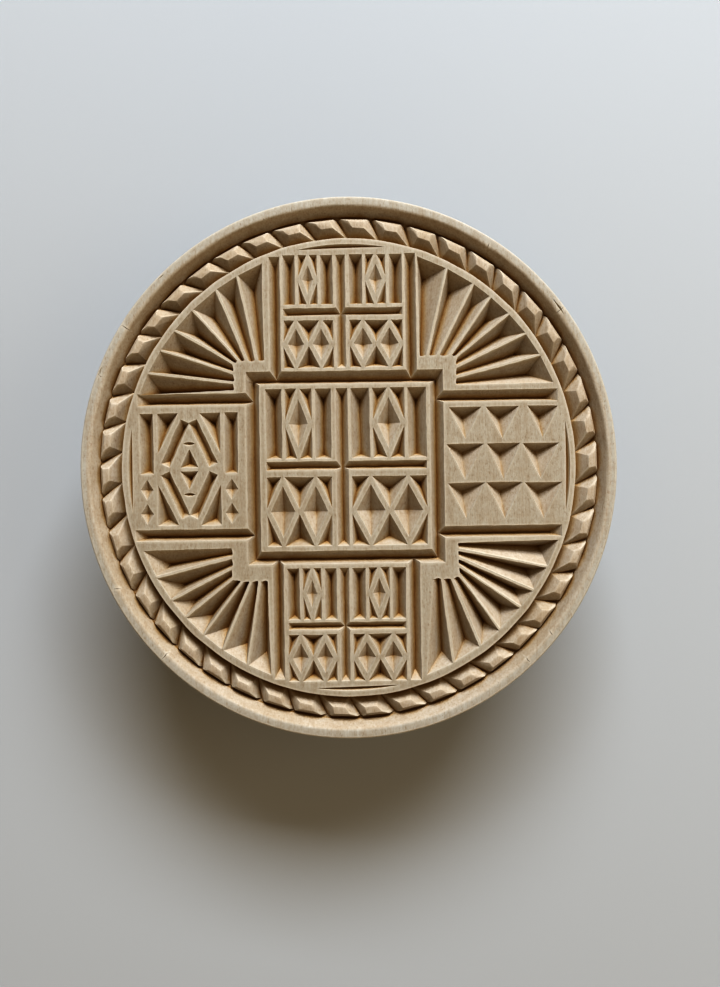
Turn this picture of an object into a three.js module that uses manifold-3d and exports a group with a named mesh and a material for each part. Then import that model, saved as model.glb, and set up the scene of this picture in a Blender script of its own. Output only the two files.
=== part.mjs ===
// A chip-carved wooden bread stamp, standing on its turned handle with the carved face up.
// Millimetres, +Z up. The origin is the centre of the handle's foot, and +Y runs along the grain of the head.
import * as THREE from "three";
import { ConvexGeometry } from "three/addons/geometries/ConvexGeometry.js";
import { mergeVertices } from "three/addons/utils/BufferGeometryUtils.js";
import Module from "manifold-3d";

const wasm = await Module();
wasm.setup();

// ---------------------------------------------------------------- driving dimensions
const HEAD_RADIUS = 85; // the disc, before it shrank across the grain
const SHRINK_X = 0.995; // the disc is a little narrower across the grain
const STRETCH_Y = 1.005; // than along it
const HEAD_THICK = 20;
const HEAD_BACK = 31; // height of the back of the head
const TOP = HEAD_BACK + HEAD_THICK; // the stamping plane

const RIM_IN = 82; // inner edge of the rim's flat top
const CHANNEL_OUT = 80.4; // foot of the rim's sloping inner wall
const CREST_RADIUS = 77.3; // crest of the rope's strands
const CHANNEL_IN = 72.2; // foot of the medallion's outer wall
const RING_OUT = 71.8; // the medallion's plain ring, outer edge
const RING_IN = 69.8; // and inner edge
const CHANNEL_DEPTH = 5;
const CREST_DROP = 0.9; // how far the strands stay under the stamping plane
const STRANDS = 46;
const STRAND_SLANT = 4.6; // how far a strand leans over between the rim and the ring

const CUT_SLOPE = 0.86; // depth of a V cut as a share of its width
const DEEPEST = 4.7;
const LOZENGE_EDGE = 1.15; // width of the flat left round a hollowed lozenge
const LOZENGE_SLOPE = 1.1; // steepness of its walls
const END_TOP = 3.1; // length of the sloping facet at the upper end of a full flute
const END_FOOT = 1.5; // and at its lower end
const HAND = 0.12; // how far the corner of a hand-made cut wanders
const LEAN = 0.18; // share of its width by which a level cut's deepest line lies towards -Y

const HANDLE_FOOT_RADIUS = 28;
const HANDLE_WAIST_RADIUS = 15.3;
const HANDLE_COLLAR_RADIUS = 25;
const TENON_RADIUS = 12.5;
const TENON_LENGTH = 10;
const GAP = 0.3; // glue-line clearance between the head and the handle

const HEAD_SEGMENTS = 120;
const HANDLE_SEGMENTS = 56;

// ---------------------------------------------------------------- solids
// A three.js geometry as a manifold solid.
function solid(geometry) {
  const bare = geometry.clone();
  bare.deleteAttribute("normal");
  bare.deleteAttribute("uv");
  const merged = mergeVertices(bare, 1e-4);
  const index = merged.index.array;
  const triangles = [];
  for (let i = 0; i < index.length; i += 3) {
    const [a, b, c] = [index[i], index[i + 1], index[i + 2]];
    if (a !== b && b !== c && a !== c) triangles.push(a, b, c);
  }
  return new wasm.Manifold(
    new wasm.Mesh({
      numProp: 3,
      vertProperties: merged.attributes.position.array,
      triVerts: new Uint32Array(triangles),
    }),
  );
}

function geometryOf(body) {
  const mesh = body.getMesh();
  const geometry = new THREE.BufferGeometry();
  geometry.setAttribute("position", new THREE.BufferAttribute(new Float32Array(mesh.vertProperties), 3));
  geometry.setIndex(new THREE.BufferAttribute(new Uint32Array(mesh.triVerts), 1));
  const flat = geometry.toNonIndexed();
  flat.computeVertexNormals();
  return flat;
}

// A profile of [radius, height] points, turned about the Z axis.
function turned(profile, segments) {
  const points = profile.map(([r, z]) => new THREE.Vector2(r, z));
  return new THREE.LatheGeometry(points, segments).rotateX(Math.PI / 2);
}

const mix = (a, b, t) => a + (b - a) * t;
const between = ([ax, ay], [bx, by], t) => [mix(ax, bx, t), mix(ay, by, t)];
const distance = ([ax, ay], [bx, by]) => Math.hypot(bx - ax, by - ay);
// A point given by its clock angle in degrees (0 is +Y, 90 is +X) and its radius.
const clock = (angle, radius) => [
  radius * Math.sin(THREE.MathUtils.degToRad(angle)),
  radius * Math.cos(THREE.MathUtils.degToRad(angle)),
];

// ---------------------------------------------------------------- knife cuts
let drift = 11;
// A small offset, up to HAND either way, that is the same each time the part is made.
function wander() {
  drift = (drift * 16807) % 2147483647;
  return ((2 * drift) / 2147483647 - 1) * HAND;
}

// One chip: an outline on the stamping plane, cut down to floor points [x, y, depth].
function chip(outline, floor, exact = false) {
  const points = [];
  for (const [cornerX, cornerY] of outline) {
    const [x, y] = exact ? [cornerX, cornerY] : [cornerX + wander(), cornerY + wander()];
    points.push(new THREE.Vector3(x, y, TOP + 0.02));
    points.push(new THREE.Vector3(x, y, TOP + 1.5));
  }
  for (const [x, y, depth] of floor) points.push(new THREE.Vector3(x, y, TOP - depth));
  return solid(new ConvexGeometry(points));
}

// A V groove between two points, closed by sloping facets endA and endB long. The knife leans, so the
// upper wall of a level groove is broader than its lower wall.
function groove(a, b, width, depth, endA, endB) {
  const length = distance(a, b);
  const [ux, uy] = [(b[0] - a[0]) / length, (b[1] - a[1]) / length];
  const [nx, ny] = [(-uy * width) / 2, (ux * width) / 2];
  const drop = 2 * LEAN * Math.abs(ux);
  const [sx, sy] = [-Math.sign(ux) * nx * drop, -Math.sign(ux) * ny * drop];
  const outline = [
    [a[0] + nx, a[1] + ny],
    [b[0] + nx, b[1] + ny],
    [b[0] - nx, b[1] - ny],
    [a[0] - nx, a[1] - ny],
  ];
  const floor = [endA / length, 1 - endB / length].map((t) => {
    const [x, y] = between(a, b, t);
    return [x + sx, y + sy, depth];
  });
  return chip(outline, floor);
}

// An upright flute from x0 to x1 and from y0 up to y1.
function flute(x0, x1, y0, y1) {
  const depth = Math.min(DEEPEST, CUT_SLOPE * (x1 - x0));
  const share = depth / DEEPEST;
  const middle = (x0 + x1) / 2;
  return groove([middle, y0], [middle, y1], x1 - x0, depth, END_FOOT * share, END_TOP * share);
}

// A three-sided chip whose deepest point is the same distance from all its sides.
function triangle(a, b, c) {
  const [la, lb, lc] = [distance(b, c), distance(c, a), distance(a, b)];
  const around = la + lb + lc;
  const x = (la * a[0] + lb * b[0] + lc * c[0]) / around;
  const y = (la * a[1] + lb * b[1] + lc * c[1]) / around;
  const area = Math.abs((b[0] - a[0]) * (c[1] - a[1]) - (c[0] - a[0]) * (b[1] - a[1])) / 2;
  const reach = (2 * area) / around;
  return chip([a, b, c], [[x, y - LEAN * reach, Math.min(DEEPEST, 2 * CUT_SLOPE * reach)]]);
}

// A slender leaf-shaped chip between two points.
function leaf(a, b, width, depth) {
  const length = distance(a, b);
  const [nx, ny] = [(-(b[1] - a[1]) * width) / 2 / length, ((b[0] - a[0]) * width) / 2 / length];
  const outline = [a, b];
  for (const t of [0.25, 0.5, 0.75]) {
    const share = t === 0.5 ? 1 : 0.75;
    const [x, y] = between(a, b, t);
    outline.push([x + nx * share, y + ny * share], [x - nx * share, y - ny * share]);
  }
  return chip(outline, [
    [...between(a, b, 0.35), depth],
    [...between(a, b, 0.65), depth],
  ]);
}

// A small four-sided chip: a lozenge on the surface with one deepest point.
function diamond(x, y, halfX, halfY, depth) {
  const outline = [
    [x - halfX, y],
    [x, y - halfY],
    [x + halfX, y],
    [x, y + halfY],
  ];
  return chip(outline, [[x, y, depth]]);
}

// A row of raised lozenges side by side in a rectangle: the field around them is chipped away in
// triangles that point inwards from its upper and lower edges.
function lozenges(x0, x1, y0, y1, count) {
  const pitch = (x1 - x0) / count;
  const middle = (y0 + y1) / 2;
  const flat = 0.4; // half of what stays standing at a lozenge's point
  const [halfX, halfY] = [pitch / 2, (y1 - y0) / 2];
  const inradius = (halfX * halfY) / Math.hypot(halfX, halfY);
  const sunk = inradius - LOZENGE_EDGE;
  const inset = sunk / inradius;
  const cuts = [];
  for (let k = 0; k < count; k += 1) {
    cuts.push(diamond(x0 + pitch * (k + 0.5), middle, halfX * inset, halfY * inset, LOZENGE_SLOPE * sunk));
  }
  for (const y of [y0, y1]) {
    const apex = mix(middle, y, 0.07);
    cuts.push(triangle([x0, y], [x0 + pitch / 2 - flat, y], [x0, apex]));
    cuts.push(triangle([x1, y], [x1 - pitch / 2 + flat, y], [x1, apex]));
    for (let k = 1; k < count; k += 1) {
      const x = x0 + pitch * k;
      cuts.push(triangle([x - pitch / 2 + flat, y], [x + pitch / 2 - flat, y], [x, apex]));
    }
  }
  return cuts;
}

// ---------------------------------------------------------------- the carved pattern
const cuts = [];

// The square V moat round the centre panel, mitred at its corners.
const MOAT = { left: -30, right: 27.9, bottom: -28.2, top: 28.4, width: 4.2, depth: 3.7 };
{
  const { left, right, bottom, top, width, depth } = MOAT;
  const middle = [(left + right) / 2, (bottom + top) / 2];
  const corners = [
    [left, bottom],
    [right, bottom],
    [right, top],
    [left, top],
  ];
  // A corner moved away from the middle of the panel.
  const moved = ([x, y], by) => [x + Math.sign(x - middle[0]) * by, y + Math.sign(y - middle[1]) * by];
  const floors = corners.map(([x, y]) => [x, y - LEAN * width, depth]);
  for (let k = 0; k < 4; k += 1) {
    const next = (k + 1) % 4;
    const outer = [moved(corners[k], width / 2), moved(corners[next], width / 2)];
    const inner = [moved(corners[next], -width / 2), moved(corners[k], -width / 2)];
    cuts.push(chip([...outer, ...inner], [floors[k], floors[next]], true));
  }
}

// The grooves along both sides of the four arms, from the moat out to the ring.
for (const [x, y0, y1] of [
  [-22.6, MOAT.top, 66.6],
  [20.1, MOAT.top, 67.2],
  [-22.7, MOAT.bottom, -66.4],
  [20.2, MOAT.bottom, -67.2],
]) {
  cuts.push(groove([x, y0], [x, y1], 3.5, 3.1, 0, 3));
}
for (const [y, x0, x1] of [
  [22, MOAT.left, -66.4],
  [-20.6, MOAT.left, -67.6],
  [22, MOAT.right, 66],
  [-20.7, MOAT.right, 66.8],
]) {
  cuts.push(groove([x0, y], [x1, y], 3.7, 3.4, 0, 3.4));
}

// Panels above, in and below the centre: two rows each, parted by an upright and a level groove.
const PANELS = [
  {
    left: [-20, -4.2],
    right: [0.8, 17.6],
    divider: [-1.8, 2.9],
    rows: [31.4, 46.4, 51.4, 67],
    middle: [49.1, 2.4],
  },
  {
    left: [-26, -5.4],
    right: [0.8, 24.6],
    divider: [-2, 3.8],
    rows: [-24.6, -2.8, 2.9, 25],
    middle: [0.7, 2.7],
  },
  {
    left: [-19.8, -4.4],
    right: [0.6, 17.4],
    divider: [-1.9, 3],
    rows: [-67.2, -52.4, -47.8, -31.5],
    middle: [-49.8, 2.4],
  },
];
for (const { left, right, divider, rows, middle } of PANELS) {
  const [dividerX, dividerWidth] = divider;
  const [middleY, middleWidth] = middle;
  cuts.push(groove([dividerX, rows[0]], [dividerX, rows[3]], dividerWidth, dividerWidth * 0.8, 2, 2));
  const level = middleWidth * CUT_SLOPE;
  cuts.push(groove([left[0], middleY], [right[1], middleY], middleWidth, level, 1.4, 1.4));
  for (const [x0, x1] of [left, right]) {
    const reed = (x1 - x0) * 0.25;
    // Upper row: a tall lozenge between two flutes. Lower row: two lozenges side by side.
    cuts.push(flute(x0, x0 + reed, rows[2], rows[3]));
    cuts.push(flute(x1 - reed, x1, rows[2], rows[3]));
    cuts.push(...lozenges(x0 + reed + 0.9, x1 - reed - 0.9, rows[2], rows[3], 1));
    cuts.push(...lozenges(x0, x1, rows[0], rows[1], 2));
  }
}

// Right-hand panel: three rows of three arrow-shaped chips, deepest near their straight upper edge.
const ARROW_ROWS = [
  { y: 18.6, drop: 10.3, bases: [31.7, 41.9, 43.2, 53.8, 56.4, 66] },
  { y: 7, drop: 11.5, bases: [30.6, 42.7, 43.4, 54, 54.6, 66.4] },
  { y: -5.4, drop: 11.6, bases: [31, 42.9, 43.1, 54.8, 55.1, 67.1] },
];
for (const { y, drop, bases } of ARROW_ROWS) {
  for (let k = 0; k < 6; k += 2) {
    const [x0, x1] = [bases[k], bases[k + 1]];
    const tip = [mix(x0, x1, 0.5), y - drop];
    cuts.push(chip([[x0, y], [x1, y], tip], [[mix(x0, x1, 0.43), y - 2.9, 4]]));
  }
}

// Left-hand panel: a tall double lozenge between two flutes, with leaves and small chips.
const LEFT_PANEL = { x0: -65.6, x1: -34.8, y0: -17.6, y1: 17.9 };
{
  const { x0, x1, y0, y1 } = LEFT_PANEL;
  const [cx, cy] = [(x0 + x1) / 2, (y0 + y1) / 2];
  const column = 4.2;
  for (const edge of [x0, x1 - column]) {
    cuts.push(flute(edge, edge + column, cy - 1.4, y1));
    cuts.push(diamond(edge + column / 2, cy - 6.4, column / 2, 3.4, 2));
    cuts.push(diamond(edge + column / 2, cy - 14, column / 2, 3.4, 2));
  }
  const [halfX, halfY] = [(x1 - x0) / 2 - column - 1.2, (y1 - y0) / 2];
  for (const sx of [-1, 1]) {
    for (const sy of [-1, 1]) {
      const corner = [cx + sx * halfX, cy + sy * halfY];
      cuts.push(triangle(corner, [cx + sx * 3.4, corner[1]], [corner[0], cy + sy * 4.6]));
      const from = [cx + sx * (halfX - 2.4), cy + sy * 1.2];
      const to = [cx + sx * 1.2, cy + sy * (halfY - 2.6)];
      cuts.push(groove(from, to, 3, 2.6, 1.8, 1.8));
    }
  }
  for (const sy of [-1, 1]) {
    cuts.push(triangle([cx - 2.9, cy + sy * 0.5], [cx + 2.9, cy + sy * 0.5], [cx, cy + sy * 6.4]));
    cuts.push(leaf([cx - 1.9, cy + sy * 8], [cx + 1.9, cy + sy * 8], 1.3, 1));
  }
}

// Four fans of tapering chips. Each ridge between two chips runs from a root beside the corner
// bracket to a tip on the ring, given by its clock angle. valleys says how far across from one ridge
// to the next each chip's deepest line lies, and endRun how long the facet at its outer end is.
const FANS = [
  {
    tips: [18.5, 27, 35, 40.5, 47, 53.7, 60.3, 68.6],
    valleys: [0.25, 0.32, 0.43, 0.5, 0.51, 0.6, 0.52],
    endRun: 5.4,
    roots: [[22.3, 35], [25.3, 35], [28.6, 35], [32.5, 35], [34.8, 34.7], [34.3, 31.2], [34.3, 28], [34.3, 25]],
  },
  {
    tips: [109.6, 117.5, 124.5, 130, 138, 144.5, 152.7, 160.5],
    valleys: [0.33, 0.33, 0.39, 0.38, 0.33, 0.36, 0.33],
    endRun: 3.9,
    roots: [
      [34.3, -23.8],
      [34.3, -26.4],
      [34.3, -29],
      [34.3, -31.6],
      [34.8, -35],
      [32, -35.6],
      [28.9, -35.6],
      [25.6, -35.6],
    ],
  },
  {
    tips: [201, 208, 215.5, 221.8, 228.3, 234, 241, 249],
    valleys: [0.34, 0.21, 0.25, 0.27, 0.35, 0.34, 0.31],
    endRun: 5,
    roots: [
      [-25.6, -35.6],
      [-28.6, -35.6],
      [-31.4, -35.6],
      [-34.2, -35.6],
      [-37.5, -34.8],
      [-37.3, -31.2],
      [-37.3, -27.8],
      [-37.3, -24.4],
    ],
  },
  {
    tips: [289.5, 296, 302.7, 309, 316, 324, 330.5, 338],
    valleys: [0.2, 0.22, 0.35, 0.4, 0.43, 0.45, 0.46],
    endRun: 5.4,
    roots: [[-36, 24.4], [-36, 27.2], [-36, 30.2], [-36.2, 33.4], [-34.2, 34.2], [-31.8, 34.2], [-28.6, 34.2], [-25.6, 34.2]],
  },
];
const RIDGE_ROOT = 0.5; // half the width of a ridge at its root
const RIDGE_TIP = 0.4; // and at its tip
const ROOT_DEPTH = 1.9;
const FAN_DEEPEST = 5.8;
for (const { tips, valleys, endRun, roots } of FANS) {
  for (let k = 0; k + 1 < tips.length; k += 1) {
    const [rootA, rootB] = [roots[k], roots[k + 1]];
    const [tipA, tipB] = [clock(tips[k], RING_IN), clock(tips[k + 1], RING_IN)];
    const rootShare = RIDGE_ROOT / distance(rootA, rootB);
    const tipShare = RIDGE_TIP / distance(tipA, tipB);
    const outline = [
      between(rootA, rootB, rootShare),
      between(rootA, rootB, 1 - rootShare),
      between(tipA, tipB, 1 - tipShare),
      between(tipA, tipB, tipShare),
    ];
    const [start, end] = [between(rootA, rootB, valleys[k]), between(tipA, tipB, valleys[k])];
    const deepest = 1 - endRun / distance(start, end);
    const depth = Math.min(FAN_DEEPEST, CUT_SLOPE * distance(tipA, tipB) * 0.85);
    cuts.push(chip(outline, [[...start, ROOT_DEPTH], [...between(start, end, deepest), depth]]));
  }
}

// Thin crescents between the ring and the ends of the arms.
for (const [angle, half, radius] of [
  [358.8, 11.6, 70.3],
  [178.5, 11.4, 70.3],
  [90.4, 12.2, 69.6],
  [270, 11.2, 69.4],
]) {
  const outline = [-1, -0.5, 0, 0.5, 1].map((t) => clock(angle + half * t, radius));
  const middle = clock(angle, radius * Math.cos(THREE.MathUtils.degToRad(half)) - 0.2);
  const floor = [-0.4, 0.4].map((t) => [...clock(angle + half * t, radius - 0.65), 1.3]);
  cuts.push(chip([...outline, middle], floor));
}

// ---------------------------------------------------------------- the rope border
// One strand: a slanting faceted bead between the ring and the rim. Its corners are given by how far
// they lie along the rope, their radius and their depth.
function strand(angle) {
  const half = (Math.PI * CREST_RADIUS) / STRANDS;
  const foot = CHANNEL_DEPTH + 0.6;
  const corners = [];
  for (const [along, width, radius, depth] of [
    [STRAND_SLANT * 0.5, half * 1.08, CHANNEL_IN - 0.3, foot],
    [-STRAND_SLANT * 0.5, half * 1.2, CHANNEL_OUT - 0.1, foot],
    [-STRAND_SLANT * 0.28, half * 0.38, CREST_RADIUS + 0.1, CREST_DROP + 0.25],
    [-STRAND_SLANT * 0.1, half * 0.26, CREST_RADIUS - 1.4, CREST_DROP],
  ]) {
    for (const side of [-1, 1]) {
      const turn = THREE.MathUtils.radToDeg((along + side * width) / radius);
      const [x, y] = clock(angle + turn, radius);
      corners.push(new THREE.Vector3(x, y, TOP - depth));
    }
  }
  return solid(new ConvexGeometry(corners));
}
const strands = [];
for (let k = 0; k < STRANDS; k += 1) strands.push(strand(89.6 + (k * 360) / STRANDS));

// ---------------------------------------------------------------- the head
const headProfile = [
  [0, HEAD_BACK + TENON_LENGTH + 2 * GAP],
  [TENON_RADIUS + GAP, HEAD_BACK + TENON_LENGTH + 2 * GAP],
  [TENON_RADIUS + GAP, HEAD_BACK],
  [HEAD_RADIUS - 20, HEAD_BACK],
  [HEAD_RADIUS - 8, HEAD_BACK + 2.2],
  [HEAD_RADIUS - 2.4, HEAD_BACK + 6],
  [HEAD_RADIUS, HEAD_BACK + 12],
  [HEAD_RADIUS, TOP - 1.4],
  [HEAD_RADIUS - 0.6, TOP],
  [RIM_IN, TOP],
  [CHANNEL_OUT, TOP - CHANNEL_DEPTH],
  [CHANNEL_IN, TOP - CHANNEL_DEPTH],
  [RING_OUT, TOP],
  [0, TOP],
];
const blank = solid(turned(headProfile, HEAD_SEGMENTS).scale(SHRINK_X, STRETCH_Y, 1));
const carved = cuts.reduce((body, cut) => body.subtract(cut), blank);
const headBody = strands.reduce((body, bead) => body.add(bead), carved);

// ---------------------------------------------------------------- the handle
const SHOULDER = HEAD_BACK - GAP;
const handleProfile = [
  [0, 0],
  [HANDLE_FOOT_RADIUS - 1.5, 0],
  [HANDLE_FOOT_RADIUS, 1.2],
  [HANDLE_FOOT_RADIUS + 0.3, 3.2],
  [HANDLE_FOOT_RADIUS - 0.6, 5.4],
  [HANDLE_FOOT_RADIUS - 3.2, 7.2],
  [21, 8.8],
  [18, 11],
  [16, 13.8],
  [HANDLE_WAIST_RADIUS, 16.8],
  [15.9, 19.8],
  [17.6, 22.7],
  [20.2, 25.2],
  [HANDLE_COLLAR_RADIUS - 1.6, 27.4],
  [HANDLE_COLLAR_RADIUS, 28.8],
  [HANDLE_COLLAR_RADIUS, SHOULDER],
  [TENON_RADIUS, SHOULDER],
  [TENON_RADIUS, SHOULDER + TENON_LENGTH - 1],
  [TENON_RADIUS - 1, SHOULDER + TENON_LENGTH],
  [0, SHOULDER + TENON_LENGTH],
];
const handleBody = solid(turned(handleProfile, HANDLE_SEGMENTS));

// ---------------------------------------------------------------- the assembly
const group = new THREE.Group();
group.name = "carved_bread_stamp";

function piece(name, body, colour, roughness) {
  const material = new THREE.MeshStandardMaterial({ color: colour, roughness, metalness: 0 });
  const mesh = new THREE.Mesh(geometryOf(body), material);
  mesh.name = name;
  group.add(mesh);
}

piece("carved_head", headBody, 0xd9c7a3, 0.72);
piece("turned_handle", handleBody, 0xcdb78d, 0.6);

export default group;
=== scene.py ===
"""The looks of a chip-carved wooden bread stamp, which stands on its turned handle with its carved face up.

Lengths in this file are millimetres until a mesh is made. +Z is up and +Y runs along the grain of the head.
"""

import math
import random

import bmesh
import bpy
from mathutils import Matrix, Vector, noise


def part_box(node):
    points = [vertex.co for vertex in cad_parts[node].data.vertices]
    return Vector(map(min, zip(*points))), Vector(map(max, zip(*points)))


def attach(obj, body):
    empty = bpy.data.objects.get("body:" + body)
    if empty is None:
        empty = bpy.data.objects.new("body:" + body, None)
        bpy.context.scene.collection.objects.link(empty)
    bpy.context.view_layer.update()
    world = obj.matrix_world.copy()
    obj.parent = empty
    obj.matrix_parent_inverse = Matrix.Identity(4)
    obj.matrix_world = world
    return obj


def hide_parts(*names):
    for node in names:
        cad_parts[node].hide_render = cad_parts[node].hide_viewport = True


MM = 0.001

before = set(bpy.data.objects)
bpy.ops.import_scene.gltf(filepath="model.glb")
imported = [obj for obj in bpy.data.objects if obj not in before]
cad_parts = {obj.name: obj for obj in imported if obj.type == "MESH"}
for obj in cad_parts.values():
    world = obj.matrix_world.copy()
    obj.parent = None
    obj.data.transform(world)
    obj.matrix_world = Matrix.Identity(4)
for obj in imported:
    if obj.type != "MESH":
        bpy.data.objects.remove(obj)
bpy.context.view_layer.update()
head_low, head_high = (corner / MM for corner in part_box("carved_head"))

TOP = head_high.z  # the stamping plane
BACK = head_low.z  # the back of the head
HEAD_RADIUS = 85.0
STRETCH_X = (head_high.x - head_low.x) / 2 / HEAD_RADIUS
STRETCH_Y = (head_high.y - head_low.y) / 2 / HEAD_RADIUS

RIM_IN = 82.0  # inner edge of the rim's flat top
BEVEL_FOOT = 79.7  # the rim's inner bevel ends here, above a narrow gap behind the rope
BEVEL_DEPTH = 3.4
CHANNEL_OUT = 79.5  # outer edge of the rope's channel
CREST_RADIUS = 77.3  # crest of the rope's strands
CHANNEL_IN = 72.2  # inner edge of the channel
RING_OUT = 71.8  # the plain ring, outer edge
RING_IN = 69.8  # and inner edge
CHANNEL_DEPTH = 5.0
CREST_DROP = 0.9  # how far the strands stay under the stamping plane
STRANDS = 46
STRAND_OUT = 79.2  # outer end of a strand
STRAND_SLANT = 4.6  # how far a strand leans over between the rim and the ring

CUT_SLOPE = 0.86  # depth of a V cut as a share of its width
DEEPEST = 4.7
END_TOP = 3.1  # length of the sloping facet at the upper end of a full flute
END_FOOT = 1.5  # and at its lower end
LOZENGE_EDGE = 1.15  # width of the flat left round a hollowed lozenge
LOZENGE_SLOPE = 1.1  # steepness of its walls
LEAN = 0.18  # share of its width by which a level cut's deepest line lies towards -Y
TENON_RADIUS = 12.5
TENON_LENGTH = 10.0
GAP = 0.3  # glue-line clearance between the head and the handle

WALL_RINGS = 4  # rows of points down a cut's wall
CLEARANCE = 1.5  # a cutter stands this far over the stamping plane
SKIN = 0.02  # and its walls start this far over it
ARRIS = 0.16  # how far the strands' edges are worn round
HEAD_SEGMENTS = 360
HANDLE_SEGMENTS = 128
WELD = 0.002  # points closer than this are one
SLIVER = 0.001  # edges shorter than this are dropped

hand = random.Random(4711)


# ---------------------------------------------------------------- small helpers
def mix(a, b, t):
    return a + (b - a) * t


def between(a, b, t):
    return (mix(a[0], b[0], t), mix(a[1], b[1], t))


def distance(a, b):
    return math.hypot(b[0] - a[0], b[1] - a[1])


def clock(angle, radius):
    """The point at a clock angle in degrees (0 is +Y, 90 is +X) and a radius."""
    turn = math.radians(angle)
    return (radius * math.sin(turn), radius * math.cos(turn))


def wander(size):
    return hand.uniform(-size, size)


def mesh_of(bm, name):
    mesh = bpy.data.meshes.new(name)
    bm.to_mesh(mesh)
    bm.free()
    return mesh


def object_of(mesh, name):
    obj = bpy.data.objects.new(name, mesh)
    bpy.context.scene.collection.objects.link(obj)
    return obj


# ---------------------------------------------------------------- knife cuts
def add_pit(bm, loop, floors, hollow):
    """Adds one cut to bm as a closed solid. loop is its outline on the stamping plane, and floors gives,
    for each point of the outline, the (x, y, depth) its wall runs down to. hollow bends the walls."""
    levels = [
        [(x, y, TOP + CLEARANCE) for x, y in loop],
        [(x, y, TOP + SKIN) for x, y in loop],
    ]
    for k in range(1, WALL_RINGS + 1):
        t = k / WALL_RINGS
        sink = t + hollow * math.sin(math.pi * t)
        levels.append(
            [
                (mix(x, fx, t), mix(y, fy, t), TOP - depth * sink)
                for (x, y), (fx, fy, depth) in zip(loop, floors)
            ]
        )
    rows = [[bm.verts.new(Vector(p) * MM) for p in level] for level in levels]
    count = len(loop)
    bm.faces.new(rows[0])
    for upper, lower in zip(rows, rows[1:]):
        for k in range(count):
            nxt = (k + 1) % count
            bm.faces.new((upper[nxt], upper[k], lower[k], lower[nxt]))


def strip(bm, lefts, rights, floors, hollow=0.0):
    """A cut with two long sides; both sides' points go down to the same floor points."""
    add_pit(bm, list(lefts) + list(rights)[::-1], list(floors) + list(floors)[::-1], hollow)


def hand_edge(a, b, count, bow):
    """Points from a up to, not including, b, on an edge cut by hand: a little bowed and uneven."""
    length = distance(a, b) or 1
    nx, ny = -(b[1] - a[1]) / length, (b[0] - a[0]) / length
    points = []
    for k in range(count):
        t = k / count
        off = bow * math.sin(math.pi * t) + (wander(0.05) if k else 0)
        x, y = between(a, b, t)
        points.append((x + nx * off, y + ny * off))
    return points


def polygon(bm, corners, floor, hollow=None, rough=0.1):
    """A cut with a straight-sided outline and one deepest point (x, y, depth)."""
    corners = [(x + wander(rough), y + wander(rough)) for x, y in corners]
    loop = []
    for k, corner in enumerate(corners):
        following = corners[(k + 1) % len(corners)]
        steps = max(2, round(distance(corner, following) / 2.2))
        loop += hand_edge(corner, following, steps, wander(0.1))
    hollow = wander(0.05) if hollow is None else hollow
    add_pit(bm, loop, [floor] * len(loop), hollow)


def groove(bm, a, b, width, depth, end_a, end_b, rough=0.1):
    """A V groove from a to b, closed by sloping facets end_a and end_b long."""
    length = distance(a, b)
    ux, uy = (b[0] - a[0]) / length, (b[1] - a[1]) / length
    nx, ny = -uy, ux
    drop = -math.copysign(1, ux) * LEAN * width * abs(ux)
    inner = max(2, round(length / 3.2))
    stations = [0.0] if end_a > 0 else []
    stations += [mix(end_a, length - end_b, k / inner) for k in range(inner + 1)]
    stations += [length] if end_b > 0 else []
    lefts, rights, floors = [], [], []
    for s in stations:
        x, y = a[0] + ux * s, a[1] + uy * s
        for side, points in ((1, lefts), (-1, rights)):
            half = side * width / 2 + wander(rough)
            points.append((x + nx * half, y + ny * half))
        held = min(max(s, end_a), length - end_b)
        off = drop + wander(rough)
        fx, fy = a[0] + ux * held + nx * off, a[1] + uy * held + ny * off
        floors.append((fx, fy, depth * (1 + wander(0.03))))
    if end_a > 0:
        floors[0] = floors[1]
    if end_b > 0:
        floors[-1] = floors[-2]
    strip(bm, lefts, rights, floors, wander(0.04))


def flute(bm, x0, x1, y0, y1):
    depth = min(DEEPEST, CUT_SLOPE * (x1 - x0))
    share = depth / DEEPEST
    middle = (x0 + x1) / 2
    foot, head = END_FOOT * share, END_TOP * share * hand.uniform(0.9, 1.12)
    low, high = (middle + wander(0.12), y0), (middle + wander(0.12), y1 + wander(0.12))
    groove(bm, low, high, x1 - x0, depth, foot, head)


def triangle(bm, a, b, c):
    la, lb, lc = distance(b, c), distance(c, a), distance(a, b)
    around = la + lb + lc
    x = (la * a[0] + lb * b[0] + lc * c[0]) / around
    y = (la * a[1] + lb * b[1] + lc * c[1]) / around
    area = abs((b[0] - a[0]) * (c[1] - a[1]) - (c[0] - a[0]) * (b[1] - a[1])) / 2
    reach = 2 * area / around
    depth = min(DEEPEST, 2 * CUT_SLOPE * reach) * hand.uniform(0.94, 1.04)
    polygon(bm, (a, b, c), (x + wander(0.12), y - LEAN * reach, depth))


def diamond(bm, x, y, half_x, half_y, depth):
    corners = [(x - half_x, y), (x, y - half_y), (x + half_x, y), (x, y + half_y)]
    polygon(bm, corners, (x, y, depth), rough=0.07)


def leaf(bm, a, b, width, depth):
    length = distance(a, b)
    nx, ny = -(b[1] - a[1]) / length, (b[0] - a[0]) / length
    lefts, rights, floors = [], [], []
    steps = 8
    for k in range(steps + 1):
        t = k / steps
        bulge = math.sin(math.pi * t) ** 0.8
        x, y = between(a, b, t)
        lefts.append((x + nx * width / 2 * bulge, y + ny * width / 2 * bulge))
        rights.append((x - nx * width / 2 * bulge, y - ny * width / 2 * bulge))
        floors.append((x, y, depth * bulge))
    strip(bm, lefts, rights, floors)


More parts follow.
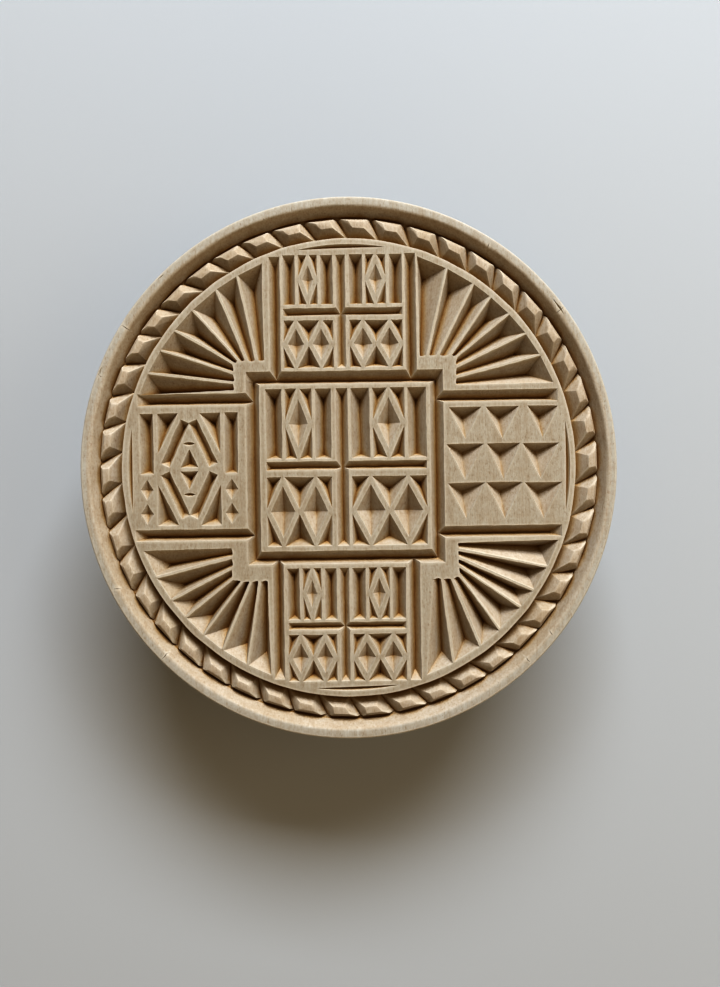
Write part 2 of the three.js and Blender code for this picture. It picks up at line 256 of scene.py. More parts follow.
def lozenges(bm, x0, x1, y0, y1, count):
    """A row of raised lozenges: the field around them is chipped away in triangles."""
    pitch = (x1 - x0) / count
    middle = (y0 + y1) / 2
    flat = 0.4
    half_x, half_y = pitch / 2, (y1 - y0) / 2
    inradius = half_x * half_y / math.hypot(half_x, half_y)
    sunk = inradius - LOZENGE_EDGE
    inset = sunk / inradius
    for k in range(count):
        x = x0 + pitch * (k + 0.5)
        diamond(bm, x, middle, half_x * inset, half_y * inset, LOZENGE_SLOPE * sunk)
    for y in (y0, y1):
        apex = mix(middle, y, 0.07)
        triangle(bm, (x0, y), (x0 + pitch / 2 - flat, y), (x0, apex))
        triangle(bm, (x1, y), (x1 - pitch / 2 + flat, y), (x1, apex))
        for k in range(1, count):
            x = x0 + pitch * k
            triangle(bm, (x - pitch / 2 + flat, y), (x + pitch / 2 - flat, y), (x, apex))


# ---------------------------------------------------------------- the carved pattern
# Cuts that lie apart, level and rising cuts that cross: each layer's solids keep clear of one another.
apart, level, rising = bmesh.new(), bmesh.new(), bmesh.new()

MOAT_LEFT, MOAT_RIGHT, MOAT_BOTTOM, MOAT_TOP = -30.0, 27.9, -28.2, 28.4
MOAT_WIDTH, MOAT_DEPTH = 4.2, 3.7
past = MOAT_WIDTH / 2
lean_down = LEAN * MOAT_WIDTH
for y in (MOAT_BOTTOM, MOAT_TOP):
    groove(level, (MOAT_LEFT - past, y), (MOAT_RIGHT + past, y), MOAT_WIDTH, MOAT_DEPTH, past, past, 0.08)
for x in (MOAT_LEFT, MOAT_RIGHT):
    low, high = (x, MOAT_BOTTOM - lean_down), (x, MOAT_TOP - lean_down)
    groove(rising, low, high, MOAT_WIDTH, MOAT_DEPTH, 0, 0, 0.08)

for x, start, end in (
    (-22.6, MOAT_TOP, 66.6),
    (20.1, MOAT_TOP, 67.2),
    (-22.7, MOAT_BOTTOM, -66.4),
    (20.2, MOAT_BOTTOM, -67.2),
):
    groove(rising, (x, start - lean_down), (x, end), 3.5, 3.1, 0, 3.0)
for y, start, end in (
    (22.0, MOAT_LEFT, -66.4),
    (-20.6, MOAT_LEFT, -67.6),
    (22.0, MOAT_RIGHT, 66.0),
    (-20.7, MOAT_RIGHT, 66.8),
):
    groove(level, (start, y), (end, y), 3.7, 3.4, 0, 3.4, 0.08)

# Panels above, in and below the centre: left cell, right cell, divider, rows and the groove between them.
PANELS = (
    ((-20.0, -4.2), (0.8, 17.6), (-1.8, 2.9), (31.4, 46.4, 51.4, 67.0), (49.1, 2.4)),
    ((-26.0, -5.4), (0.8, 24.6), (-2.0, 3.8), (-24.6, -2.8, 2.9, 25.0), (0.7, 2.7)),
    ((-19.8, -4.4), (0.6, 17.4), (-1.9, 3.0), (-67.2, -52.4, -47.8, -31.5), (-49.8, 2.4)),
)
for left, right, (divider_x, divider_width), rows, (middle_y, middle_width) in PANELS:
    low, high = (divider_x, rows[0]), (divider_x, rows[3])
    groove(rising, low, high, divider_width, divider_width * 0.8, 1.6, 2.2)
    low, high = (left[0], middle_y), (right[1], middle_y)
    groove(level, low, high, middle_width, middle_width * CUT_SLOPE, 1.4, 1.4)
    for x0, x1 in (left, right):
        reed = (x1 - x0) * 0.25
        flute(apart, x0, x0 + reed, rows[2], rows[3])
        flute(apart, x1 - reed, x1, rows[2], rows[3])
        lozenges(apart, x0 + reed + 0.9, x1 - reed - 0.9, rows[2], rows[3], 1)
        lozenges(apart, x0, x1, rows[0], rows[1], 2)

# Right-hand panel: rows of arrow-shaped chips, deepest near their straight upper edge.
ARROW_ROWS = (
    (18.6, 10.3, ((31.7, 41.9), (43.2, 53.8), (56.4, 66.0))),
    (7.0, 11.5, ((30.6, 42.7), (43.4, 54.0), (54.6, 66.4))),
    (-5.4, 11.6, ((31.0, 42.8), (43.2, 54.7), (55.2, 67.1))),
)
for y, drop, bases in ARROW_ROWS:
    for x0, x1 in bases:
        tip = (mix(x0, x1, 0.5), y - drop)
        floor = (mix(x0, x1, 0.43) + wander(0.3), y - 2.9 + wander(0.2), 4.0)
        polygon(apart, ((x0, y), (x1, y), tip), floor, hollow=0.07)

# Left-hand panel: a tall double lozenge between two flutes, with leaves and small chips.
PANEL_LEFT, PANEL_RIGHT, PANEL_LOW, PANEL_HIGH = -65.6, -34.8, -17.6, 17.9
cx, cy = (PANEL_LEFT + PANEL_RIGHT) / 2, (PANEL_LOW + PANEL_HIGH) / 2
COLUMN = 4.2
for edge in (PANEL_LEFT, PANEL_RIGHT - COLUMN):
    flute(apart, edge, edge + COLUMN, cy - 1.4, PANEL_HIGH)
    diamond(apart, edge + COLUMN / 2, cy - 6.4, COLUMN / 2, 3.4, 2.0)
    diamond(apart, edge + COLUMN / 2, cy - 14.0, COLUMN / 2, 3.4, 2.0)
half_x = (PANEL_RIGHT - PANEL_LEFT) / 2 - COLUMN - 1.2
half_y = (PANEL_HIGH - PANEL_LOW) / 2
for sx in (-1, 1):
    for sy in (-1, 1):
        corner = (cx + sx * half_x, cy + sy * half_y)
        triangle(apart, corner, (cx + sx * 3.4, corner[1]), (corner[0], cy + sy * 4.6))
        start = (cx + sx * (half_x - 2.4), cy + sy * 1.2)
        end = (cx + sx * 1.2, cy + sy * (half_y - 2.6))
        groove(level if sx == sy else rising, start, end, 3.0, 2.6, 1.8, 1.8)
for sy in (-1, 1):
    triangle(apart, (cx - 2.9, cy + sy * 0.5), (cx + 2.9, cy + sy * 0.5), (cx, cy + sy * 6.4))
    leaf(apart, (cx - 1.9, cy + sy * 8), (cx + 1.9, cy + sy * 8), 1.3, 1.0)

# Four fans of tapering chips: the ridges' tips on the ring as clock angles, how far across from ridge
# to ridge each chip is deepest, the length of the facet at its outer end, and the ridges' roots.
FANS = (
    (
        (18.5, 27.0, 35.0, 40.5, 47.0, 53.7, 60.3, 68.6),
        (0.25, 0.32, 0.43, 0.5, 0.51, 0.6, 0.52),
        5.4,
        (
            ((22.3, 35), (25.3, 35), (28.6, 35), (32.5, 35))
            + ((34.8, 34.7), (34.3, 31.2), (34.3, 28), (34.3, 25))
        ),
    ),
    (
        (109.6, 117.5, 124.5, 130.0, 138.0, 144.5, 152.7, 160.5),
        (0.33, 0.33, 0.39, 0.38, 0.33, 0.36, 0.33),
        3.9,
        (
            ((34.3, -23.8), (34.3, -26.4), (34.3, -29), (34.3, -31.6))
            + ((34.8, -35), (32, -35.6), (28.9, -35.6), (25.6, -35.6))
        ),
    ),
    (
        (201.0, 208.0, 215.5, 221.8, 228.3, 234.0, 241.0, 249.0),
        (0.34, 0.21, 0.25, 0.27, 0.35, 0.34, 0.31),
        5.0,
        (
            ((-25.6, -35.6), (-28.6, -35.6), (-31.4, -35.6), (-34.2, -35.6))
            + ((-37.5, -34.8), (-37.3, -31.2), (-37.3, -27.8), (-37.3, -24.4))
        ),
    ),
    (
        (289.5, 296.0, 302.7, 309.0, 316.0, 324.0, 330.5, 338.0),
        (0.2, 0.22, 0.35, 0.4, 0.43, 0.45, 0.46),
        5.4,
        (
            ((-36, 24.4), (-36, 27.2), (-36, 30.2), (-36.2, 33.4))
            + ((-34.2, 34.2), (-31.8, 34.2), (-28.6, 34.2), (-25.6, 34.2))
        ),
    ),
)
ROOT_DEPTH = 1.9
FAN_DEEPEST = 5.8
for tips, valleys, end_run, roots in FANS:
    for k in range(len(tips) - 1):
        root_a, root_b = roots[k], roots[k + 1]
        tip_a, tip_b = clock(tips[k], RING_IN), clock(tips[k + 1], RING_IN)
        root_share = 0.45 / distance(root_a, root_b)
        tip_share = 0.3 / distance(tip_a, tip_b)
        across = valleys[k] + wander(0.02)
        start, end = between(root_a, root_b, across), between(tip_a, tip_b, across)
        side_a = (between(root_a, root_b, root_share), between(tip_a, tip_b, tip_share))
        side_b = (between(root_a, root_b, 1 - root_share), between(tip_a, tip_b, 1 - tip_share))
        depth = min(FAN_DEEPEST, CUT_SLOPE * distance(tip_a, tip_b) * 0.85)
        deepest = 1 - (end_run + wander(0.5)) / distance(start, end)
        bow_a, bow_b = wander(0.16), wander(0.16)
        notch = between(start, end, -(0.35 + wander(0.2)) / distance(start, end))
        lefts = [between(notch, side_a[0], 0.3)]
        rights = [between(notch, side_b[0], 0.3)]
        floors = [(*notch, 0.3)]
        steps = 14
        for j in range(steps + 1):
            t = j / steps
            swell = math.sin(math.pi * t)
            ax, ay = between(*side_a, t)
            bx, by = between(*side_b, t)
            lefts.append((ax + bow_a * swell + wander(0.06), ay + bow_a * swell + wander(0.06)))
            rights.append((bx + bow_b * swell + wander(0.06), by + bow_b * swell + wander(0.06)))
            held = min(t, deepest)
            fx, fy = between(start, end, held)
            floors.append((fx, fy, mix(ROOT_DEPTH, depth, (held / deepest) ** 0.9)))
        strip(apart, lefts, rights, floors, hollow=wander(0.03))

# Thin crescents between the ring and the ends of the arms: clock angle, half length, radius.
CRESCENTS = ((358.8, 11.6, 70.3), (178.5, 11.4, 70.3), (90.4, 12.2, 69.6), (270.0, 11.2, 69.4))
for angle, half, radius in CRESCENTS:
    inner_radius = radius * math.cos(math.radians(half)) - 0.2
    lefts, rights, floors = [], [], []
    steps = 16
    for j in range(steps + 1):
        t = 2 * j / steps - 1
        thick = max(0.0, 1 - t * t)
        outer = clock(angle + half * t, radius)
        inner = clock(angle + half * t, radius - 1.35 * thick)
        lefts.append(outer)
        rights.append(inner)
        fx, fy = between(outer, inner, 0.55)
        floors.append((fx, fy, 1.3 * thick))
    strip(apart, lefts, rights, floors)

# Hairline checks in the rim, most of them across its inner edge: clock angle, inner and outer radius.
RIM_CHECKS = (
    (33, 81.3, 83.4),
    (54, 80.9, 84.3),
    (130, 81.2, 83.2),
    (138, 81.0, 83.8),
    (146, 81.4, 82.9),
    (225, 81.1, 84.2),
    (243, 81.2, 83.5),
    (291, 82.6, 84.6),
    (303, 81.0, 84.4),
    (342, 81.2, 83.1),
)
for angle, inner, outer in RIM_CHECKS:
    lefts, rights, floors = [], [], []
    steps = 6
    drift = 0
    for j in range(steps + 1):
        t = j / steps
        radius = mix(inner, outer, t)
        drift += wander(0.16)
        thick = 0.1 * math.sin(math.pi * (0.08 + 0.84 * t))
        middle = angle + drift
        lefts.append(clock(middle - math.degrees(thick / radius), radius))
        rights.append(clock(middle + math.degrees(thick / radius), radius))
        surface = max(0.0, (RIM_IN - radius) / (RIM_IN - BEVEL_FOOT)) * BEVEL_DEPTH
        floors.append((*clock(middle, radius), surface + 0.6 * math.sin(math.pi * (0.1 + 0.8 * t))))
    strip(rising, lefts, rights, floors)

# Three places where the rim's top has splintered a little: clock angle, radius, length, width and depth.
SPLINTERS = ((53.4, 83.2, 3.4, 0.8, 0.5), (291.4, 83.9, 2.6, 1.1, 0.4), (316, 84.2, 1.8, 0.5, 0.3))
for angle, radius, long, wide, deep in SPLINTERS:
    spread = math.degrees(long / radius)
    corners = [
        clock(angle - spread, radius + 0.1),
        clock(angle - spread * 0.2, radius - wide * 0.6),
        clock(angle + spread, radius - 0.1),
        clock(angle + spread * 0.1, radius + wide * 0.5),
    ]
    polygon(apart, corners, (*clock(angle + spread * 0.2, radius), deep), rough=0.1)


def closed(bm):
    """Welds, triangulates and turns outwards the solids in bm."""
    bmesh.ops.remove_doubles(bm, verts=bm.verts, dist=WELD * MM)
    bmesh.ops.dissolve_degenerate(bm, edges=bm.edges, dist=SLIVER * MM)
    bmesh.ops.triangulate(bm, faces=bm.faces)
    bmesh.ops.recalc_face_normals(bm, faces=bm.faces)
    return bm


def combine(target, bm, operation):
    """Adds bm's solids to the target object, or takes them away."""
    tool = object_of(mesh_of(closed(bm), "cut"), "cut")
    modifier = target.modifiers.new("cut", "BOOLEAN")
    modifier.operation = operation
    modifier.solver = "MANIFOLD"
    modifier.object = tool
    depsgraph = bpy.context.evaluated_depsgraph_get()
    made = bpy.data.meshes.new_from_object(target.evaluated_get(depsgraph))
    target.modifiers.clear()
    target.data = made
    bpy.data.objects.remove(tool)


# ---------------------------------------------------------------- the rope's strands
def add_strand(bm, angle):
    """One strand of the rope, a faceted hull round five pairs of corners: how far along the rope each
    pair lies, its half width, its radius and its depth."""
    half = math.pi * CREST_RADIUS / STRANDS
    foot = CHANNEL_DEPTH + 0.6
    slant = STRAND_SLANT * hand.uniform(0.85, 1.15)
    corners = []
    for along, width, radius, depth in (
        (slant * 0.5, half * 1.08, CHANNEL_IN - 0.3, foot),
        (-slant * 0.46, half * 1.15, STRAND_OUT, foot),
        (-slant * 0.42, half * 0.8, STRAND_OUT - 0.15, 2.4),
        (-slant * 0.3, half * 0.46, CREST_RADIUS + 0.6, CREST_DROP + 0.2),
        (-slant * 0.08, half * 0.36, CREST_RADIUS - 1.5, CREST_DROP),
    ):
        shift = wander(0.25)
        for side in (-1, 1):
            turn = math.degrees((along + side * width + shift) / radius)
            x, y = clock(angle + turn, radius + wander(0.08))
            corners.append(bm.verts.new(Vector((x, y, TOP - depth + wander(0.12))) * MM))
    bmesh.ops.convex_hull(bm, input=corners)


def strands(first):
    """Every other strand, so that no two in one mesh overlap."""
    bm = bmesh.new()
    for k in range(first, STRANDS, 2):
        one = bmesh.new()
        add_strand(one, 89.6 + k * 360 / STRANDS + wander(0.25))
        bmesh.ops.dissolve_limit(one, angle_limit=math.radians(1), verts=one.verts, edges=one.edges)
        edges = list(one.edges)
        bmesh.ops.bevel(one, geom=edges, offset=ARRIS * MM, segments=2, profile=0.6, affect="EDGES")
        piece = mesh_of(one, "strand")
        bm.from_mesh(piece)
        bpy.data.meshes.remove(piece)
    return bm


# ---------------------------------------------------------------- the head
def turned(profile, segments, wobble, seed, stretch=(1.0, 1.0), ripple=None):
    """A profile of (radius, height), closed on the axis, turned into a mesh that's a little uneven.
    ripple says how far a point is moved by the short ripples of a hand-cut edge."""
    bm = bmesh.new()
    rings = []
    for r, z in profile:
        if r == 0:
            rings.append([bm.verts.new(Vector((0, 0, z)) * MM)])
            continue
        ring = []
        for k in range(segments):
            turn = 2 * math.pi * k / segments
            drift = noise.noise(Vector((math.cos(turn) * 1.3 + seed, math.sin(turn) * 1.3, z * 0.05)))
            rr = r + wobble * drift
            if ripple:
                place = Vector((math.cos(turn) * 11, math.sin(turn) * 11, z * 0.4 + r * 0.3))
                rr += ripple(r, z) * noise.noise(place)
            x, y = rr * math.cos(turn) * stretch[0], rr * math.sin(turn) * stretch[1]
            ring.append(bm.verts.new(Vector((x, y, z)) * MM))
        rings.append(ring)
    for lower, upper in zip(rings, rings[1:]):
        for k in range(segments):
            nxt = (k + 1) % segments
            quad = [lower[k % len(lower)], lower[nxt % len(lower)]]
            quad += [upper[nxt % len(upper)], upper[k % len(upper)]]
            unique = list(dict.fromkeys(quad))
            if len(unique) > 2:
                bm.faces.new(unique)
    bmesh.ops.recalc_face_normals(bm, faces=bm.faces)
    return bm


def rounded(corner, before, after, radius, steps=4):
    """Points round a profile's corner, from the side of before to the side of after."""
    to_before = (Vector(before) - Vector(corner)).normalized() * radius
    to_after = (Vector(after) - Vector(corner)).normalized() * radius
    start, end, middle = Vector(corner) + to_before, Vector(corner) + to_after, Vector(corner)
    points = []
    for k in range(steps + 1):
        t = k / steps
        points.append(tuple(start * (1 - t) ** 2 + middle * 2 * t * (1 - t) + end * t * t))
    return points


mortise_top = BACK + TENON_LENGTH + 2 * GAP
head_profile = [
    (0, mortise_top),
    (TENON_RADIUS + GAP, mortise_top),
    (TENON_RADIUS + GAP, BACK),
    (HEAD_RADIUS - 20, BACK),
    (HEAD_RADIUS - 13, BACK + 0.7),
    (HEAD_RADIUS - 8, BACK + 2.2),
    (HEAD_RADIUS - 4.6, BACK + 4.1),
    (HEAD_RADIUS - 2.4, BACK + 6.4),
    (HEAD_RADIUS - 0.8, BACK + 9.2),
    (HEAD_RADIUS - 0.1, BACK + 12),
    (HEAD_RADIUS, BACK + 15),
]
head_profile += rounded((HEAD_RADIUS, TOP), (HEAD_RADIUS, BACK), (RIM_IN, TOP), 0.9)
head_profile += rounded((RIM_IN, TOP), (HEAD_RADIUS, TOP), (BEVEL_FOOT, TOP - BEVEL_DEPTH), 0.7, 5)
head_profile += [
    (mix(RIM_IN, BEVEL_FOOT, 0.5) + 0.06, TOP - BEVEL_DEPTH * 0.5),
    (BEVEL_FOOT, TOP - BEVEL_DEPTH),
    (CHANNEL_OUT, TOP - CHANNEL_DEPTH + 0.7),
    (CHANNEL_OUT - 0.9, TOP - CHANNEL_DEPTH),
    (CHANNEL_IN, TOP - CHANNEL_DEPTH),
]
head_profile += rounded((RING_OUT, TOP), (CHANNEL_IN, TOP - CHANNEL_DEPTH), (0, TOP), 0.3, 3)
head_profile += [(0, TOP)]


def channel_ripple(r, z):
    """The channel's walls are cut by hand; the turned outside is smooth."""
    return 0.22 if RING_OUT - 0.5 < r < RIM_IN + 0.6 and z > TOP - CHANNEL_DEPTH - 0.1 else 0.0


blank = turned(head_profile, HEAD_SEGMENTS, 0.12, 3.0, (STRETCH_X, STRETCH_Y), channel_ripple)
head = object_of(mesh_of(closed(blank), "head_carving"), "head_carving")
for layer in (apart, level, rising):
    combine(head, layer, "DIFFERENCE")
for first in (0, 1):
    combine(head, strands(first), "UNION")


def soften(obj, angle):
    """Smooth shading, broken at every edge sharper than the angle in degrees."""
    bm = bmesh.new()
    bm.from_mesh(obj.data)
    bmesh.ops.remove_doubles(bm, verts=bm.verts, dist=0.003 * MM)
    bmesh.ops.dissolve_degenerate(bm, edges=bm.edges, dist=0.003 * MM)
    for face in bm.faces:
        face.smooth = True
    limit = math.radians(angle)
    for edge in bm.edges:
        edge.smooth = len(edge.link_faces) == 2 and edge.calc_face_angle(0) < limit
    bm.to_mesh(obj.data)
    bm.free()


soften(head, 21)

# ---------------------------------------------------------------- the handle
SHOULDER = BACK - GAP
handle_profile = [
    (0, 0),
    (25.9, 0),
    (26.6, 0.15),
    (27.4, 0.6),
    (28.0, 1.4),
    (28.3, 2.4),
    (28.35, 3.4),
    (28.0, 4.6),
    (27.3, 5.6),
    (26.2, 6.4),
    (24.7, 7.2),
    (22.8, 8.0),
    (21.0, 8.9),
    (19.4, 9.9),
    (18.0, 11.1),
    (16.9, 12.4),
    (16.1, 13.8),
    (15.5, 15.3),
    (15.3, 16.8),
    (15.4, 18.3),
    (15.9, 19.8),
    (16.6, 21.3),
    (17.6, 22.7),
    (18.8, 24.0),
    (20.2, 25.2),
    (21.8, 26.3),
    (23.4, 27.2),
    (24.4, 27.9),
    (24.9, 28.8),
    (25.0, 29.6),
    (24.8, SHOULDER - 0.25),
    (24.4, SHOULDER),
    (TENON_RADIUS, SHOULDER),
    (TENON_RADIUS, SHOULDER + TENON_LENGTH - 1),
    (TENON_RADIUS - 1, SHOULDER + TENON_LENGTH),
    (0, SHOULDER + TENON_LENGTH),
]
spindle = turned(handle_profile, HANDLE_SEGMENTS, 0.05, 9.0)
handle = object_of(mesh_of(spindle, "handle_turning"), "handle_turning")
soften(handle, 32)


# ---------------------------------------------------------------- materials
class Nodes:
    """Short ways to add and join a material's nodes."""

    def __init__(self, name):
        self.material = bpy.data.materials.new(name)
        self.material.use_nodes = True
        self.tree = self.material.node_tree
        self.shader = self.tree.nodes["Principled BSDF"]

    def add(self, kind, inputs=None, **settings):
        made = self.tree.nodes.new(kind)
        for key, value in settings.items():
            setattr(made, key, value)
        for key, value in (inputs or {}).items():
            self.put(made.inputs[key], value)
        return made

    def put(self, socket, value):
        if isinstance(value, bpy.types.NodeSocket):
            self.tree.links.new(value, socket)
        else:
            socket.default_value = value

    def math(self, operation, a, b=0.0):
        return self.add("ShaderNodeMath", {0: a, 1: b}, operation=operation).outputs[0]

    def span(self, value, low, high, out_low=0.0, out_high=1.0):
        inputs = {"Value": value, "From Min": low, "From Max": high, "To Min": out_low, "To Max": out_high}
        return self.add("ShaderNodeMapRange", inputs, interpolation_type="SMOOTHSTEP").outputs[0]

    def blend(self, factor, a, b, mode="MIX"):
        made = self.add("ShaderNodeMix", data_type="RGBA", blend_type=mode)
        self.put(made.inputs[0], factor)
        self.put(made.inputs[6], a)
        self.put(made.inputs[7], b)
        return made.outputs[2]

    def noise(self, vector, scale, detail=2.0, rough=0.5):
        """Noise over a vector in millimetres; scale is (x, y, z) in features per millimetre."""
        scaled = self.add("ShaderNodeVectorMath", {0: vector, 1: scale}, operation="MULTIPLY").outputs[0]
        inputs = {"Vector": scaled, "Scale": 1.0, "Detail": detail, "Roughness": rough}
        return self.add("ShaderNodeTexNoise", inputs).outputs[0]


CUT_SHADE_REACH, EDGE_HIGHLIGHT_REACH = 0.0035, 0.0012  # metres: how far the painted shade in a cut and the painted highlight along a cut edge reach
# Painted shade in the cuts: the tint where it starts and the deeper tint at the bottom.
CUT_SHADE_TINT, DEEP_SHADE_TINT = (0.94, 0.71, 0.29, 1), (0.60, 0.37, 0.13, 1)
# Painted highlight: the paler colour laid along the cut edges.
EDGE_HIGHLIGHT_COLOUR = (0.51, 0.48, 0.415, 1)
FACE_TINT = (0.91, 0.905, 0.88, 1)  # of the stamping plane, inside the rim


def wood(name, grain, light, warm, flat=None):
    """Pale lime wood whose grain runs along "y" or "z", with painted shade in its cuts and a painted
    highlight along its cut edges. flat is the greyer colour of its handled top and outside. Object
    coordinates are metres, and spot is the same place in millimetres."""
    n = Nodes(name)
    place = n.add("ShaderNodeTexCoord").outputs["Object"]
    spot = n.add("ShaderNodeVectorMath", {0: place, "Scale": 1000.0}, operation="SCALE").outputs[0]

    def along(across, length):
        return (across, length, across) if grain == "y" else (across, across, length)

    cloud = n.noise(spot, along(0.03, 0.012), 3)
    bands = n.noise(spot, along(0.42, 0.012), 3, 0.6)
    streak = n.noise(spot, along(1.5, 0.1), 3, 0.6)
    fibre = n.noise(spot, along(3.2, 0.25), 3, 0.65)
    fleck = n.noise(spot, along(2.6, 0.75), 2, 0.6)
    speck = n.noise(spot, (1.6, 1.2, 1.6), 2, 0.7)
    mottle = n.noise(spot, (0.35, 0.35, 0.35), 4, 0.6)

    colour = n.blend(n.span(cloud, 0.35, 0.65), light, warm)
    if flat is not None:
        x, y, height = n.add("ShaderNodeSeparateXYZ", {0: spot}).outputs
        radius = n.math("SQRT", n.math("ADD", n.math("MULTIPLY", x, x), n.math("MULTIPLY", y, y)))
        outside = n.math("MAXIMUM", n.span(radius, RIM_IN, RIM_IN + 1), n.span(height, TOP - 6, TOP - 7))
        used = n.math("MAXIMUM", outside, n.span(height, TOP - 0.45, TOP - 0.03, 0, 0.5))
        colour = n.blend(n.math("MULTIPLY", used, 0.85), colour, flat)
        within = n.span(radius, RIM_IN, RIM_IN - 1)
        face = n.math("MULTIPLY", within, n.span(height, TOP - 0.45, TOP - 0.03))
        colour = n.blend(face, colour, FACE_TINT, "MULTIPLY")
    # Darker marks: where each pattern starts and is full, its strength and its tint.
    for pattern, start, full, strength, tint in (
        (bands, 0.45, 0.68, 0.45, (0.91, 0.86, 0.80, 1)),
        (streak, 0.35, 0.7, 0.38, (0.82, 0.75, 0.66, 1)),
        (fleck, 0.56, 0.74, 0.6, (0.64, 0.54, 0.42, 1)),
        (speck, 0.35, 0.7, 0.3, (0.70, 0.62, 0.52, 1)),
        (mottle, 0.42, 0.7, 0.32, (0.84, 0.76, 0.66, 1)),
    ):
        colour = n.blend(n.span(pattern, start, full, 0, strength), colour, tint, "MULTIPLY")
    # Painted shade: warmer and darker down in the cuts, where shade falls; and a painted highlight, paler
    # along their cut edges.
    # The mask of the painted shade: how much of the sky a point sees within the reach.
    cut_shade_mask = n.add("ShaderNodeAmbientOcclusion", {"Distance": CUT_SHADE_REACH}, samples=8).outputs["AO"]
    colour = n.blend(n.span(cut_shade_mask, 0.75, 0.2), colour, CUT_SHADE_TINT, "MULTIPLY")
    colour = n.blend(n.span(cut_shade_mask, 0.45, 0.05, 0, 0.9), colour, DEEP_SHADE_TINT, "MULTIPLY")
    # The mask of the painted highlight: convex edges, found by occlusion inside the wood.
    edge_highlight_mask = n.add("ShaderNodeAmbientOcclusion", {"Distance": EDGE_HIGHLIGHT_REACH}, samples=16, inside=True)
    colour = n.blend(n.span(edge_highlight_mask.outputs["AO"], 0.97, 0.78, 0, 0.42), colour, EDGE_HIGHLIGHT_COLOUR)
    n.put(n.shader.inputs["Base Color"], colour)
    n.put(n.shader.inputs["Roughness"], n.span(fibre, 0.3, 0.7, 0.58, 0.74))
    n.shader.inputs["Specular IOR Level"].default_value = 0.3
    height_map = n.math("ADD", n.math("MULTIPLY", fibre, 0.6), n.math("MULTIPLY", fleck, -0.4))
    bump = n.add("ShaderNodeBump", {"Height": height_map, "Strength": 0.8, "Distance": 0.0002})
    n.put(n.shader.inputs["Normal"], bump.outputs[0])
    return n.material


# Base colours: the lighter wood, the warmer wood between it, and the greyer handled surface.
CARVED_LIGHT, CARVED_WARM = (0.418, 0.38, 0.322, 1), (0.385, 0.338, 0.268, 1)
CARVED_HANDLED = (0.386, 0.381, 0.352, 1)
TURNED_LIGHT, TURNED_WARM = (0.44, 0.41, 0.35, 1), (0.41, 0.37, 0.30, 1)
head_wood = wood("lime_wood_carved", "y", CARVED_LIGHT, CARVED_WARM, CARVED_HANDLED)
handle_wood = wood("lime_wood_turned", "z", TURNED_LIGHT, TURNED_WARM)
for piece, material in ((head, head_wood), (handle, handle_wood)):
    piece.data.materials.clear()
    piece.data.materials.append(material)
    for face in piece.data.polygons:
        face.material_index = 0

for piece, node, slot in ((head, "carved_head", "head_wood"), (handle, "turned_handle", "handle_wood")):
    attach(piece, "root")
    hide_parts(node)


# ---------------------------------------------------------------- floor, light and camera
FLOOR_HALF = 3.0  # metres, as are the lights' places and sizes
FLOOR_DROP = 0.0002  # keeps the floor clear of the handle's foot
FLOOR_COLOUR = (0.39, 0.41, 0.43, 1)
floor_mesh = bmesh.new()
bmesh.ops.create_grid(floor_mesh, x_segments=2, y_segments=2, size=FLOOR_HALF)
floor = object_of(mesh_of(floor_mesh, "floor"), "floor")
floor.location.z = -FLOOR_DROP
paint = Nodes("floor_paint")
paint.shader.inputs["Base Color"].default_value = FLOOR_COLOUR
paint.shader.inputs["Roughness"].default_value = 0.95
paint.shader.inputs["Specular IOR Level"].default_value = 0.1
floor.data.materials.append(paint.material)

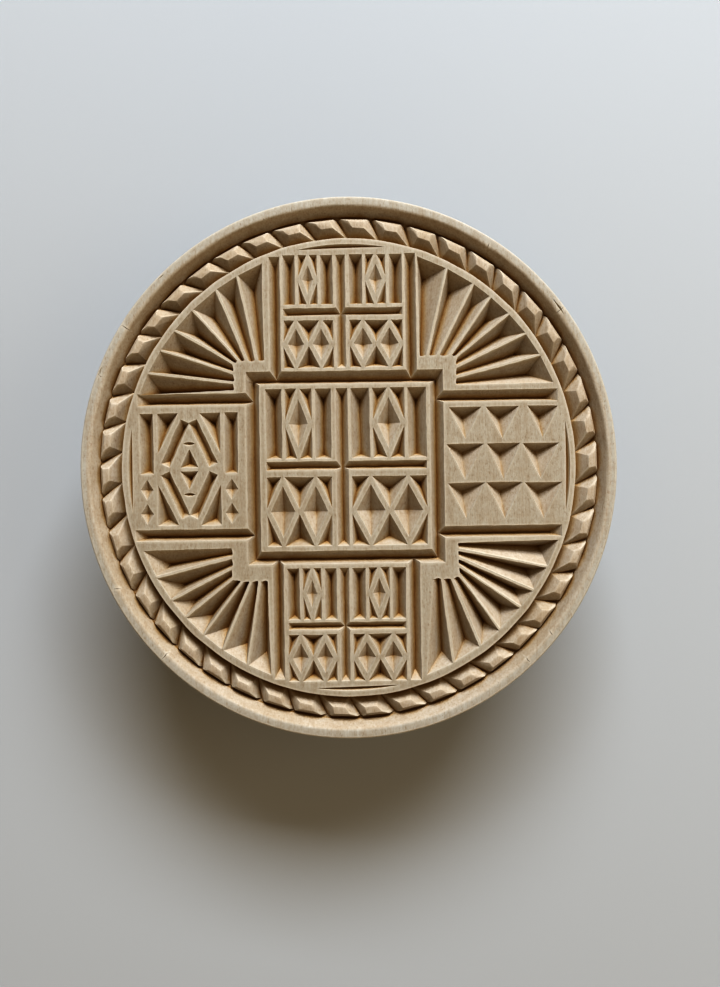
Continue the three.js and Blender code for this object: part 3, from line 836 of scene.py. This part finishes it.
# The room's light: pale walls near the horizon, a dimmer and warmer ceiling above.
WALLS = (0.61, 0.6, 0.575, 1)
CEILING = (0.46, 0.28, 0.07, 1)
WALLS_END, CEILING_START = 0.48, 0.8  # heights on a sphere of radius 1
VIEW_GAMMA = 0.57
world = bpy.data.worlds.new("room")
world.use_nodes = True
room = world.node_tree
ways = room.nodes.new("ShaderNodeTexCoord")
rise = room.nodes.new("ShaderNodeSeparateXYZ")
ramp = room.nodes.new("ShaderNodeMapRange")
tone = room.nodes.new("ShaderNodeMix")
ramp.interpolation_type = "SMOOTHSTEP"
ramp.inputs["From Min"].default_value = WALLS_END
ramp.inputs["From Max"].default_value = CEILING_START
tone.data_type = "RGBA"
tone.inputs[6].default_value = WALLS
tone.inputs[7].default_value = CEILING
room.links.new(ways.outputs["Generated"], rise.inputs[0])
room.links.new(rise.outputs[2], ramp.inputs["Value"])
room.links.new(ramp.outputs[0], tone.inputs[0])
room.links.new(tone.outputs[2], room.nodes["Background"].inputs["Color"])
bpy.context.scene.world = world
bpy.context.scene.view_settings.view_transform = "Standard"
bpy.context.scene.view_settings.gamma = VIEW_GAMMA


def area_light(name, place, target, width, height, power, colour):
    data = bpy.data.lights.new(name, "AREA")
    data.shape = "RECTANGLE"
    data.size = width
    data.size_y = height
    data.energy = power
    data.color = colour
    lamp = bpy.data.objects.new(name, data)
    lamp.location = place
    lamp.rotation_euler = (Vector(target) - Vector(place)).to_track_quat("-Z", "Y").to_euler()
    bpy.context.scene.collection.objects.link(lamp)


# Each light: its place, the point it faces, width, height, power in watts and colour.
area_light("window", (0.245, 1.418, 1.113), (0, 0, 0.04), 1.30, 0.605, 69.5, (0.945, 1.0, 1.08))
area_light("front", (0.3, -2.2, 0.45), (0, 0, 0.03), 2.0, 0.8, 13, (1.0, 0.72, 0.32))
area_light("fill", (1.1, 0.1, 0.7), (0, 0, 0.04), 0.9, 0.9, 5.0, (1.0, 0.92, 0.78))

# The camera looks straight down, turned by the small angle at which the pattern lies in the frame.
VIEW_DISTANCE = 228.0  # from the stamping plane
FRAME_TALL = 310.41  # how much of that plane the frame's long side takes in
ROLL = math.radians(0.85)
AIM = (3.5, -8.2)  # the middle of the frame, from the middle of the head
SENSOR = 36.0
lens = bpy.data.cameras.new("camera")
lens.sensor_fit = "AUTO"
lens.sensor_width = SENSOR
lens.lens = SENSOR * VIEW_DISTANCE / FRAME_TALL
lens.clip_start = 0.01
camera = bpy.data.objects.new("camera", lens)
bpy.context.scene.collection.objects.link(camera)
camera.rotation_euler = (0, 0, -ROLL)
aim_x = AIM[0] * math.cos(ROLL) + AIM[1] * math.sin(ROLL)
aim_y = -AIM[0] * math.sin(ROLL) + AIM[1] * math.cos(ROLL)
camera.location = Vector((aim_x, aim_y, TOP + VIEW_DISTANCE)) * MM
bpy.context.scene.camera = camera
